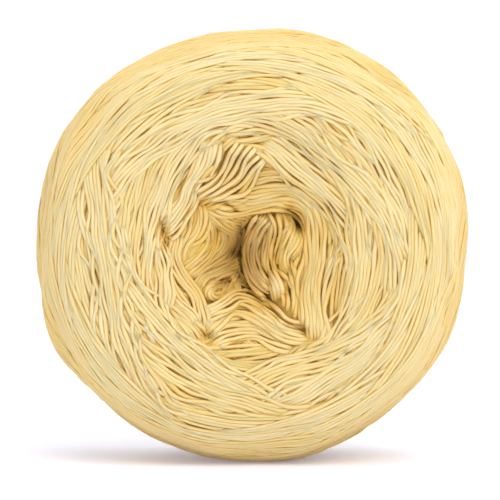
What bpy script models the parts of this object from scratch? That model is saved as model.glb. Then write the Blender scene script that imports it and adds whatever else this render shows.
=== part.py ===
"""A wound yarn cake that stands on its rim, as one closed solid of its wound form.

Metres, +Z up. The winding axis runs along Y and the open face looks towards -Y.
The rim rests on a small flat spot on z = 0, and the origin is under the middle of the cake.
"""

import math

import bmesh
import bpy
import numpy as np

MM = 0.001

# Driving dimensions
CAKE_WIDTH = 118 * MM  # under the raised bands, which bring it to about 120 mm
CAKE_THICKNESS = 54 * MM
REST_SINK = 0.9 * MM  # how far the rim is pressed flat where it rests
REST_SPAN = 38  # degrees each side of the resting spot over which its twists are pressed in
REST_RIM_SHARE = 0.90  # the twists are pressed in beyond this share of the rim radius
REST_RIM_FADE = 0.06

RIM_RADIUS = CAKE_WIDTH / 2
HALF_THICKNESS = CAKE_THICKNESS / 2

SECTION_SAMPLES = 24  # points of the smooth section between two stations
NORMAL_STEP = 0.4 * MM  # half the arc over which the section's direction is taken

# Mesh density: columns round the winding axis, rings from the front pole to the back pole
COLUMNS = 108
RINGS = 55
FRONT_RING_SHARE = 0.58  # of the rings, because the front's twists and hollow are finer

# Section of the cake, from the bottom of the front hollow to the middle of the back.
# Columns: station, share of the rim radius, share of the half thickness (front is negative)
SECTION = (
    ("front_pit_floor", 0.00, -0.16),
    ("front_pit_foot", 0.07, -0.19),
    ("front_pit_wall", 0.14, -0.36),
    ("front_pit_lip", 0.22, -0.60),
    ("front_bowl", 0.32, -0.78),
    ("front_bowl_edge", 0.46, -0.92),
    ("front_crown", 0.63, -0.99),
    ("front_shoulder", 0.80, -0.95),
    ("front_corner", 0.925, -0.76),
    ("front_rim", 0.985, -0.42),
    ("rim_middle", 1.00, 0.00),
    ("back_rim", 0.985, 0.42),
    ("back_corner", 0.925, 0.76),
    ("back_shoulder", 0.80, 0.95),
    ("back_crown", 0.63, 1.00),
    ("back_bowl_edge", 0.46, 0.955),
    ("back_bowl", 0.30, 0.86),
    ("back_dimple_wall", 0.16, 0.72),
    ("back_dimple_floor", 0.00, 0.62),
)
SHOULDER_SHARE = 0.93  # beyond this share of the radius a strand counts as crossing the rim

# Outline seen from the front, as waves round the rim.
# Columns: waves per turn, height, direction of a crest in degrees from +X towards +Z
OUTLINE_WAVES = (
    (2, 0.46 * MM, 46.0),
    (3, 0.41 * MM, 42.0),
    (4, 0.48 * MM, 42.5),
    (5, 0.20 * MM, -19.5),
    (6, 0.64 * MM, 27.5),
    (7, 0.20 * MM, 24.5),
    (8, 0.17 * MM, 10.5),
)

# The hollow sits a little left of and below the middle of the cake.
PIT_OFFSET_X = -3.6 * MM
PIT_OFFSET_Z = -3.8 * MM
PIT_OFFSET_REACH = 30 * MM

# The slack inner turns sag inward from the hollow's wall.
# Columns: lobe, direction in degrees from the hollow's middle, half span in degrees, share of
# the wall's radius that it closes
PIT_LOBES = (
    ("right_curtain", 352, 62, 0.62),
    ("bottom_lobe", 262, 34, 0.20),
    ("left_drape", 158, 44, 0.38),
    ("top_tongue", 96, 26, 0.16),
)
PIT_LOBE_REACH = 21 * MM
PIT_LOBE_FADE = 0.7  # share of that reach over which the lobes fade out
PIT_LOBE_LIMIT = 0.7  # the most of the wall's radius that the lobes may close together

# Main twists: bands of strands that pass over the front, nearest its middle at the phase angle.
# Columns: band, phase in degrees, nearest pass, width, rise, half span in degrees
FRONT_BANDS = (
    ("inner_right_fan", 60, 24.0 * MM, 7 * MM, 2.4 * MM, 50),
    ("upper_left_light", 152, 23.5 * MM, 7 * MM, 2.6 * MM, 48),
    ("left_inner_upright", 214, 23.0 * MM, 6 * MM, 2.0 * MM, 42),
    ("bottom_inner_fold", 272, 26.5 * MM, 6 * MM, 2.0 * MM, 45),
    ("right_upright", 0, 28.0 * MM, 9 * MM, 2.2 * MM, 55),
    ("lower_left_sweep", 229, 31.0 * MM, 8 * MM, 2.6 * MM, 52),
    ("right_inner_sweep", 45, 33.0 * MM, 7 * MM, 2.3 * MM, 52),
    ("bottom_sweep", 284, 35.0 * MM, 7 * MM, 2.2 * MM, 50),
    ("left_upright", 190, 36.0 * MM, 11 * MM, 2.9 * MM, 62),
    ("top_arch", 98, 38.5 * MM, 8 * MM, 2.3 * MM, 58),
    ("lower_right_sweep", 309, 39.0 * MM, 11 * MM, 2.8 * MM, 60),
    ("bottom_left_arc", 250, 41.0 * MM, 8 * MM, 2.2 * MM, 52),
    ("upper_right_sweep", 58, 42.0 * MM, 9 * MM, 2.6 * MM, 64),
    ("upper_left_outer", 130, 47.0 * MM, 10 * MM, 2.2 * MM, 75),
    ("right_outer", 338, 49.0 * MM, 11 * MM, 2.2 * MM, 110),
    ("left_outer", 205, 50.0 * MM, 11 * MM, 2.2 * MM, 110),
    ("top_outer", 80, 51.5 * MM, 10 * MM, 2.0 * MM, 120),
)

# The back isn't seen in the photo, so its bands follow one plain spiral.
BACK_BAND_COUNT = 11
BACK_BAND_TURN = 137.5  # degrees from one band to the next
BACK_NEAREST_FIRST = 22 * MM
BACK_NEAREST_LAST = 47 * MM
BACK_BAND_WIDTH = 9 * MM
BACK_BAND_RISE = 2.4 * MM
BACK_BAND_HALF_SPAN = 58

INNER_EDGE_WIDTH = 2.4 * MM  # a band's inner edge is steep, where it lies over older turns
OUTER_SLOPE_SHARE = 0.9  # of a band's width, over which its outer side slopes down
FACE_LATITUDE = 25  # degrees from the rim's middle beyond which a band lies on a face
SPAN_FADE = 18  # degrees over which a band sinks under its neighbours at each end

# Bundles of slack turns that stand out in the hollow and at its lip.
# Columns: fold, x and z of its middle from the cake's middle, half length, half width,
# direction of its length in degrees, rise
FOLD_FLATNESS = 1.5  # a higher value gives a flatter top and steeper sides
PIT_FOLDS = (
    ("right_curtain", 8.0 * MM, -5.0 * MM, 13.0 * MM, 4.5 * MM, 82, 3.4 * MM),
    ("top_fold", 4.0 * MM, 10.5 * MM, 13.0 * MM, 3.2 * MM, 0, 2.8 * MM),
    ("top_tongue", -4.6 * MM, 6.2 * MM, 6.5 * MM, 2.6 * MM, -24, 2.4 * MM),
    ("left_drape", -14.0 * MM, 0.5 * MM, 10.0 * MM, 3.2 * MM, 64, 2.6 * MM),
    ("left_curl", -12.0 * MM, -12.0 * MM, 4.5 * MM, 3.4 * MM, 150, 2.0 * MM),
    ("bottom_fold", 0.5 * MM, -17.0 * MM, 13.0 * MM, 3.4 * MM, -12, 2.8 * MM),
)


def smooth_section():
    """Radius, depth and arc length along a smooth curve through the section's stations."""
    knots = np.array([(r * RIM_RADIUS, y * HALF_THICKNESS) for _, r, y in SECTION])
    steps = np.linalg.norm(np.diff(knots, axis=0), axis=1)
    places = np.concatenate([[0.0], np.cumsum(steps)])
    slopes = np.gradient(knots, places, axis=0)
    # The curve crosses the winding axis square to it.
    slopes[[0, -1], 1] = 0.0
    points = [knots[:1]]
    share = np.linspace(0, 1, SECTION_SAMPLES + 1)[1:, None]
    for i, step in enumerate(steps):
        start = knots[i] * (2 * share**3 - 3 * share**2 + 1)
        end = knots[i + 1] * (3 * share**2 - 2 * share**3)
        leave = slopes[i] * step * (share**3 - 2 * share**2 + share)
        arrive = slopes[i + 1] * step * (share**3 - share**2)
        points.append(start + end + leave + arrive)
    curve = np.vstack(points)
    arc = np.concatenate([[0.0], np.cumsum(np.linalg.norm(np.diff(curve, axis=0), axis=1))])
    return np.maximum(curve[:, 0], 0.0), curve[:, 1], arc


SECTION_RADIUS, SECTION_DEPTH, SECTION_ARC = smooth_section()


def latitude_of_section():
    """Angle from the rim's middle for each point of the section: +90 degrees at the front pole."""
    share = SECTION_RADIUS / RIM_RADIUS
    front = SECTION_DEPTH < 0
    on_face = share < SHOULDER_SHARE
    on_face &= (SECTION_ARC < SECTION_ARC[share.argmax()]) == front
    angle = np.degrees(np.arccos(np.clip(share, 0, 1)))
    edge = math.degrees(math.acos(SHOULDER_SHARE))
    rim = np.flatnonzero(share >= SHOULDER_SHARE)
    front_edge, back_edge = SECTION_ARC[rim[0]], SECTION_ARC[rim[-1]]
    across = np.interp(SECTION_ARC, [front_edge, back_edge], [edge, -edge])
    side = np.where(SECTION_ARC < (front_edge + back_edge) / 2, 1.0, -1.0)
    return np.where(on_face, side * angle, across)


SECTION_LATITUDE = latitude_of_section()


def arc_of_latitude(latitude):
    """Place along the section where a winding strand at this latitude lies."""
    return np.interp(-latitude, -SECTION_LATITUDE, SECTION_ARC)


def smooth_step(value):
    value = np.clip(value, 0, 1)
    return value * value * (3 - 2 * value)


def band_rise(turn, arc, phase, nearest, width, rise, half_span):
    """Height of one band of strands over the wound form, at angles round the axis and arcs."""
    tilt = math.acos(nearest / RIM_RADIUS)
    from_phase = (turn - math.radians(phase) + math.pi) % (2 * math.pi) - math.pi
    path = np.arctan(math.tan(tilt) * np.cos(from_phase))
    slope = RIM_RADIUS * math.tan(tilt) * np.sin(from_phase) / (1 + np.tan(path) ** 2)
    lean = np.cos(np.arctan2(np.abs(slope), RIM_RADIUS * np.cos(path)))
    outward = (arc - arc_of_latitude(np.degrees(path))) * lean
    facing = np.clip(np.degrees(path) / FACE_LATITUDE, -1, 1)
    outward = np.where(facing < 0, -outward, outward)
    steep = INNER_EDGE_WIDTH + (width / 2 - INNER_EDGE_WIDTH) * (1 - np.abs(facing))
    inner = smooth_step((outward + width / 2) / steep)
    outer = smooth_step(1 - outward / (width * OUTER_SLOPE_SHARE))
    reach = np.degrees(np.abs(from_phase))
    ends = smooth_step((half_span + SPAN_FADE - reach) / SPAN_FADE)
    return rise * inner * outer * ends


def back_bands():
    """The back's bands, in the same columns as the front's."""
    for i in range(BACK_BAND_COUNT):
        share = i / (BACK_BAND_COUNT - 1)
        nearest = BACK_NEAREST_FIRST + share * (BACK_NEAREST_LAST - BACK_NEAREST_FIRST)
        phase = i * BACK_BAND_TURN
        yield (f"back_{i}", phase, nearest, BACK_BAND_WIDTH, BACK_BAND_RISE, BACK_BAND_HALF_SPAN)


def bands_relief(bands, turn, arc):
    """Height of the highest of these bands over the smooth wound form."""
    relief = np.zeros(turn.shape)
    for _, *shape in bands:
        relief = np.maximum(relief, band_rise(turn, arc, *shape))
    return relief


def winding_relief(turn, arc):
    """How far the main twists of both faces stand over the smooth wound form."""
    front = bands_relief(FRONT_BANDS, turn, arc)
    back = bands_relief(back_bands(), turn, SECTION_ARC[-1] - arc)
    return np.maximum(front, back)


def fold_rise(x, z):
    """How far the sagged turns fill the front hollow, at points of the front's plane."""
    filled = np.zeros_like(x)
    for _, mid_x, mid_z, half_length, half_width, direction, rise in PIT_FOLDS:
        along_x, along_z = math.cos(math.radians(direction)), math.sin(math.radians(direction))
        along = (x - mid_x) * along_x + (z - mid_z) * along_z
        across = (z - mid_z) * along_x - (x - mid_x) * along_z
        distance = (along / half_length) ** 2 + (across / half_width) ** 2
        filled = np.maximum(filled, rise * np.exp(-(distance**FOLD_FLATNESS)))
    return filled


def hollow_radius(turn, radius):
    """Radius from the hollow's middle, where the slack inner turns have sagged inward."""
    near = smooth_step((1 - radius / PIT_LOBE_REACH) / PIT_LOBE_FADE)
    closed = np.zeros_like(radius)
    for _, direction, half_span, share in PIT_LOBES:
        off = (turn - math.radians(direction) + math.pi) % (2 * math.pi) - math.pi
        closed = closed + share * np.exp(-((off / math.radians(half_span)) ** 2))
    return radius * (1 - np.minimum(closed, PIT_LOBE_LIMIT) * near)


def outline_swell(turn):
    """Unevenness of the rim seen from the front."""
    swell = np.zeros_like(turn)
    for waves, height, crest in OUTLINE_WAVES:
        swell += height * np.cos(waves * (turn - math.radians(crest)))
    return swell


def section_outward(arc):
    """Radial and depth shares of the outward direction, square to the section."""
    ahead, behind = arc + NORMAL_STEP, arc - NORMAL_STEP
    run = np.interp(ahead, SECTION_ARC, SECTION_RADIUS)
    run -= np.interp(behind, SECTION_ARC, SECTION_RADIUS)
    fall = np.interp(ahead, SECTION_ARC, SECTION_DEPTH)
    fall -= np.interp(behind, SECTION_ARC, SECTION_DEPTH)
    length = np.hypot(run, fall)
    return fall / length, -run / length


def pressed_by_floor(turn, share):
    """1 round the resting spot under the rim, where the cake's weight presses its twists in."""
    off = np.abs((turn + math.pi / 2 + math.pi) % (2 * math.pi) - math.pi)
    under = smooth_step(1 - np.degrees(off) / REST_SPAN)
    return under * smooth_step((share - REST_RIM_SHARE) / REST_RIM_FADE)


def wound_form(turn, arc):
    """Points of the cake's surface for angles round the axis and arcs from the front pole."""
    radius = np.interp(arc, SECTION_ARC, SECTION_RADIUS)
    depth = np.interp(arc, SECTION_ARC, SECTION_DEPTH)
    out_radius, out_depth = section_outward(arc)
    share = radius / RIM_RADIUS
    relief = winding_relief(turn, arc) * (1 - pressed_by_floor(turn, share))
    swell = outline_swell(turn) * share
    radius = np.maximum(radius + relief * out_radius + swell, 0.0)
    depth = depth + relief * out_depth
    on_front = arc < SECTION_ARC[-1] / 2
    pull = smooth_step(1 - radius / PIT_OFFSET_REACH) * on_front
    radius = np.where(on_front, hollow_radius(turn, radius), radius)
    x = radius * np.cos(turn) + PIT_OFFSET_X * pull
    z = radius * np.sin(turn) + PIT_OFFSET_Z * pull
    depth = depth - fold_rise(x, z) * on_front
    return np.stack([x, depth, z], axis=-1)


def rest_on_floor(points):
    """Centres the cake over the origin and presses its lowest part flat on z = 0."""
    low, high = points.min(axis=0), points.max(axis=0)
    points = points - [(low[0] + high[0]) / 2, (low[1] + high[1]) / 2, low[2] + REST_SINK]
    points[:, 2] = np.maximum(points[:, 2], 0.0)
    return points


def yarn_material():
    """Pale yellow matt yarn."""
    material = bpy.data.materials.new("pale_yellow_yarn")
    material.use_nodes = True
    shader = material.node_tree.nodes["Principled BSDF"]
    shader.inputs["Base Color"].default_value = (0.84, 0.66, 0.31, 1.0)
    shader.inputs["Roughness"].default_value = 0.9
    shader.inputs["Metallic"].default_value = 0.0
    return material


def build_cake(collection):
    """The whole wound cake, shaped from a sphere's grid with its poles on the winding axis."""
    mesh = bpy.data.meshes.new("yarn_cake")
    form = bmesh.new()
    bmesh.ops.create_uvsphere(form, u_segments=COLUMNS, v_segments=RINGS, radius=1.0)
    form.to_mesh(mesh)
    form.free()
    grid = np.empty(len(mesh.vertices) * 3, np.float32)
    mesh.vertices.foreach_get("co", grid)
    grid = grid.reshape(-1, 3).astype(float)
    turn = np.arctan2(grid[:, 1], grid[:, 0])
    ring_share = np.arccos(np.clip(grid[:, 2], -1, 1)) / math.pi
    arc_share = np.interp(ring_share, [0, FRONT_RING_SHARE, 1], [0, 0.5, 1])
    points = rest_on_floor(wound_form(turn, arc_share * SECTION_ARC[-1]))
    mesh.vertices.foreach_set("co", points.astype(np.float32).ravel())
    mesh.update()
    mesh.shade_smooth()
    mesh.materials.append(yarn_material())
    cake = bpy.data.objects.new("yarn_cake", mesh)
    collection.objects.link(cake)
    return cake


def main():
    for old in list(bpy.data.objects):
        bpy.data.objects.remove(old)
    collection = bpy.data.collections.new("yarn_cake")
    bpy.context.scene.collection.children.link(collection)
    build_cake(collection)


main()
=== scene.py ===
"""A pale yellow yarn cake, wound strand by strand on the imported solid.

Lengths are millimetres until a mesh is made. The cake's surface has two coordinates: arc is the
distance along its section from the middle of the front, over the rim, to the middle of the back,
and turn is the angle round the winding axis, from +X towards +Z. The surface is charted on two
flat discs, front and back, that overlap round the rim. Each strand is laid on the ones before it,
and only the stretches that show become meshes.
"""

import math
from collections import namedtuple

import bpy
import numpy as np
from mathutils.bvhtree import BVHTree
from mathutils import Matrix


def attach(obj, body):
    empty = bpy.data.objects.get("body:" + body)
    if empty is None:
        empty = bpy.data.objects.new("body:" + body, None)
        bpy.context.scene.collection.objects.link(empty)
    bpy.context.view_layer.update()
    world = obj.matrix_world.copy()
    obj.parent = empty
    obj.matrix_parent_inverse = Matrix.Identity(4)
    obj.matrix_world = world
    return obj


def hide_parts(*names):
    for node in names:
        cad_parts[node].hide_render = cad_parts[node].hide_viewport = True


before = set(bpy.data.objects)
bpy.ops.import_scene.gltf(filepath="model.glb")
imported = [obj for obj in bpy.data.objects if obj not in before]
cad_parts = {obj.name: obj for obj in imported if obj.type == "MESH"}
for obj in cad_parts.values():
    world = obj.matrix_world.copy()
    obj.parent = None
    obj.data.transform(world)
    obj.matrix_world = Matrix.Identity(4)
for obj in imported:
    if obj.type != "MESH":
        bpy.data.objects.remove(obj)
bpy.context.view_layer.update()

MM = 0.001
NODE = "yarn_cake"
SEED = 11

# The yarn
STRAND_WIDTH = 0.98
SLACK_WIDTH = 1.06  # the slack turns in the hollow swell a little
STRAND_FLATNESS = 0.68  # thickness over width, where strands press on each other
STRAND_SIDES = 6
STRAND_ROUND = math.pi * STRAND_WIDTH
STRAND_ANGLES = np.arange(STRAND_SIDES) * 2 * math.pi / STRAND_SIDES
WIDTH_UNEVENNESS = 0.09
WIDTH_WAVES = (5.0, 25.0)
BAND_WIDTHS = (0.94, 1.06)  # of a strand in a band of rings, over the usual width
ROUTE_WIDTHS = (0.92, 1.08)  # of a strand along a route
FLUFF = 1.24  # width of a strand's mesh over the width at which it lies by its neighbours
TWIST = 0.15  # how far the fibres turn round a strand along each millimetre

# Charts of the surface
CELL = 0.4
OVERLAP = 20.0  # how far each disc runs past the rim's middle
BLEND = 16.0  # over which length round the rim's middle one disc's level gives way to the other's
RING_RADIUS = 32.0  # of the circle inside the cake from which its outer parts are measured
SECTION_STEPS = 181
SECTION_TURNS = 36
TABLE_STEP = 1.2
TABLE_TURNS = 200
TABLE_BLUR = 0.8  # table cells: rounds the solid's facets
RIM_FACE_SHARE = 0.93  # beyond this share of the rim's radius a strand counts as crossing the rim

# How strands lie on each other
PATH_STEP = 0.5
PROBES = 5  # across a strand, where it feels what lies under it
SINKING = 0.55  # 0 rests on the highest point under it, 1 on the mean
STIFFNESS = 3.0  # length over which a strand bridges dips
SETTLING = 1.4
WIDE_LEVEL = 9.0  # the layers' own build-up over longer lengths than this is pressed in
NEAR_LEVEL = 3.0  # and over longer lengths than this it is held under these reliefs
FACE_RELIEF = 0.85
RIM_RELIEF = 0.2
FACE_COMPACTION = 0.035  # share of the finer relief that each later band presses out
RIM_COMPACTION = 0.15
SETTLES = 14  # times that the finished winding is pressed
RELIEF_ARCS = (45.0, 68.0)  # from the middle of a face, where one relief gives way to the other
BLOCK = 4  # cells, to find these levels
LEVEL = 0.05  # mean height of the strands' tops over the solid
FACING_RADII = (20.0, 28.0)  # within the first, heights in the hollow are toward the front
SHOW_MARGIN = 0.14
SHOW_MORE = 3.0  # length by which a visible stretch dives under its neighbours
SHORTEST = 2.5
END_DIVE = 1.7  # how deep the ends of slack turns go under their neighbours
END_LENGTH = 2.6
END_TAPER = 0.35  # width of a mesh's end over the strand's

# Bands of turns over the front. A band's turns are arcs of tilted rings.
# Columns: band, phase (degrees, where it passes nearest the middle), nearest pass, strands,
# fan (degrees from one strand to the next), roundness, tint
FRONT_BANDS = (
    ("upper_left_outer", 122, 47.5, 9, -0.4, 0.55, 0.2),
    ("right_outer", 338, 48.5, 10, 0.4, 0.45, 0.2),
    ("left_outer", 205, 50.0, 9, -0.4, 0.40, 0.3),
    ("top_outer", 80, 50.5, 9, 0.3, 0.55, 0.4),
)
RING_SPACING = 0.88
BAND_TINT_SPREAD = 0.45

# Bundles over the front, inner ones first.
# Columns: bundle, nearest pass of the rings that it lies on, strands, spacing, tint, route as
# (x, z) from the cake's middle
FRONT_BUNDLES = (
    ("inner_right_fan", 20, 12, 0.90, 0.9,
     ((2.5, 29.5), (7, 27), (11.3, 23.3), (16, 19.5), (20.8, 15), (25.5, 9.3), (28.3, 4.5),
      (29, -2), (28, -9))),
    ("upper_right_middle", 20, 6, 0.92, 0.1,
     ((-6, 33.5), (-1, 34), (4, 34), (11.8, 31), (18.1, 26.8), (22.4, 22.5),
      (26.6, 16.9), (29, 9))),
    ("upper_left_light", 20, 9, 0.90, 1.2,
     ((2, 37), (-6, 35), (-14, 31.5), (-20.5, 24), (-24, 15.5), (-27.3, 5), (-29, -4.6),
      (-28.5, -12), (-26, -19), (-22, -26))),
    ("left_middle", 20, 7, 0.92, 0.2,
     ((-8, 38), (-17, 34), (-25, 26), (-29, 16), (-31.5, 6), (-32.3, -4), (-31, -13), (-28, -21))),
    ("right_upright", 20, 9, 0.90, 0.3,
     ((22, 26), (26.6, 17.2), (28.9, 10.2), (30, 2), (29.8, -5), (28.3, -13), (26, -19.8),
      (21.8, -26.1), (15, -31))),
    ("right_upright_second", 20, 8, 0.92, 0.1,
     ((13, 36), (18.5, 32), (23.5, 27), (28.3, 20.2), (31.8, 13.5), (34, 8.4), (35.8, 0),
      (35.1, -8.7), (32.4, -15.6), (27.9, -22.5), (22, -29))),
    ("right_upright_third", 20, 8, 0.92, 0.2,
     ((24, 31.5), (29.5, 27), (34.5, 20.5), (39.3, 12), (41.3, 3.7), (41, -4.6), (38.8, -12),
      (35.2, -18.4), (30, -26))),
    ("right_inner_sweep", 20, 7, 0.90, 1.0,
     ((-14, 35), (-6.6, 36), (4, 35.9), (12.8, 32.4), (18.8, 26.9), (25.2, 20.9), (30.8, 15.6),
      (35.8, 9.1), (38.6, 1.4), (40, -6), (39, -14))),
    ("upper_left_sweep", 20, 8, 0.90, 0.1,
     ((-4, 41), (-14, 38), (-23, 32), (-30, 25), (-33.5, 17), (-35.3, 8), (-35.6, -1),
      (-34, -11), (-30.5, -20))),
    ("inner_lower_right", 20, 7, 0.92, 0.3,
     ((44, -4), (41.2, -12), (35, -20.5), (26, -26.3), (13.8, -31), (3.2, -34.7), (-5.2, -38.4),
      (-14, -41))),
    ("lower_left_sweep", 20, 9, 0.88, 1.1,
     ((-38, 8), (-36, -2.4), (-31.7, -12), (-24.8, -20.4), (-18.4, -27), (-11.1, -32.4),
      (-4.7, -36.6), (3.7, -40.6), (12, -43.5))),
    ("lower_right_sweep", 40, 11, 0.88, 1.3,
     ((46.5, -1), (45, -10), (41, -18.5), (34.4, -26.6), (26.5, -32.7), (17.8, -38), (9, -42.8),
      (0.6, -46.5), (-9, -49))),
    ("lower_left_second", 41, 8, 0.88, 0.4,
     ((-41, 2), (-38.5, -8), (-36, -16), (-31, -25.2), (-23.8, -32.2), (-14.2, -38), (-4.7, -41.7),
      (7.4, -44.4), (18, -45.8))),
    ("top_arch", 41, 9, 0.90, 1.0,
     ((-44, 2), (-41, 11), (-37.5, 17), (-31.8, 23.9), (-22.9, 30.3), (-10.5, 36.4), (2.2, 38.6),
      (10, 39.6), (19.5, 38.7), (26.6, 35.1), (32.6, 29.1), (37.2, 22.7), (40.4, 16.4),
      (43.2, 9.1), (45.3, 1.4), (46.3, -7), (44, -16))),
    ("lower_right_second", 44, 7, 0.90, 0.3,
     ((50, -10), (46.5, -19), (41.2, -27.6), (34.2, -35.8), (27, -41.4), (17.5, -45.6),
      (5.9, -48.8), (-6, -50))),
    ("lower_left_third", 44, 8, 0.88, 0.3,
     ((-44, -12), (-41, -20), (-36.8, -26.8), (-30.8, -34.2), (-21.6, -41.3), (-10, -45.8),
      (3.2, -47.9), (16.4, -48.3), (26, -46))),
    ("left_upright", 47, 13, 0.90, 1.2,
     ((-41, 30), (-42.6, 22), (-42.3, 15.5), (-41.4, 8.4), (-40.3, 1.4), (-39.2, -5),
      (-37.6, -15), (-35.4, -25.7), (-31.4, -36), (-26, -43.7), (-17, -50))),
)
LIFT_UNEVENNESS = 0.14
BUNDLE_SWAY = 0.5  # of the slack turns' shift
ROUTE_SPREADING = 0.15  # how far a route's strands draw apart and together
SPREADING_WAVES = (14.0, 30.0)
ROUTE_WANDER = 0.10
ROUTE_WAVES = (7.0, 18.0)
ROUTE_TINT_SPREAD = 0.35
CURVE_STEP = 0.25

# Bands that fill in under and round the main ones, each turned by the same step from the last.
# Columns: group, bands, first and last nearest pass, strands in a band, roundness, tint
FILL_BANDS = (
    # The under bands' low tint is painted shade, for the recesses in which they show
    ("under", 44, 24.0, 58.5, 8, 0.35, -0.6),
    ("outer", 36, 43.0, 58.5, 8, 0.30, 0.2),
    ("rim", 16, 58.0, 59.3, 8, 0.0, 0.2),
)
FILL_TURN = 137.5
FILL_SPREAD = 14.0
FILL_FAN = 0.9
FILL_BOWS = (0.4, 1.6)  # of a band's roundness over its row's
FILL_TINT_SPREAD = 0.3
LOOP_WANDER = 0.45  # how far a band of turns strays to the side
STRAND_WANDER = 0.14  # how far one strand strays from its band
PHASE_JITTER = 0.9  # degrees
SLACK_RADII = (24.0, 44.0)  # turns that pass nearer stray more
SLACK_SHARES = (1.8, 1.0)
STRAND_WAVES = 9

# Short turns deep in the hollow and over the back's dimple, under all others.
# Columns: side, bands, strands in a band, first and last nearest pass
INNER_TURNS = (
    ("front", 26, 6, 3.0, 22.0),
    ("back", 34, 6, 1.0, 24.0),
)
INNER_REACH = 46.0  # along the section from the middle
INNER_SPACING = 0.92
INNER_FAN = 0.8
INNER_SWAY = 1.1
INNER_SWAY_LENGTH = 6.5
INNER_WANDER = 0.15
INNER_WAVES = (9.0, 25.0)
INNER_TINT = (-0.3, 0.4)  # mean and deviation

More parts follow.
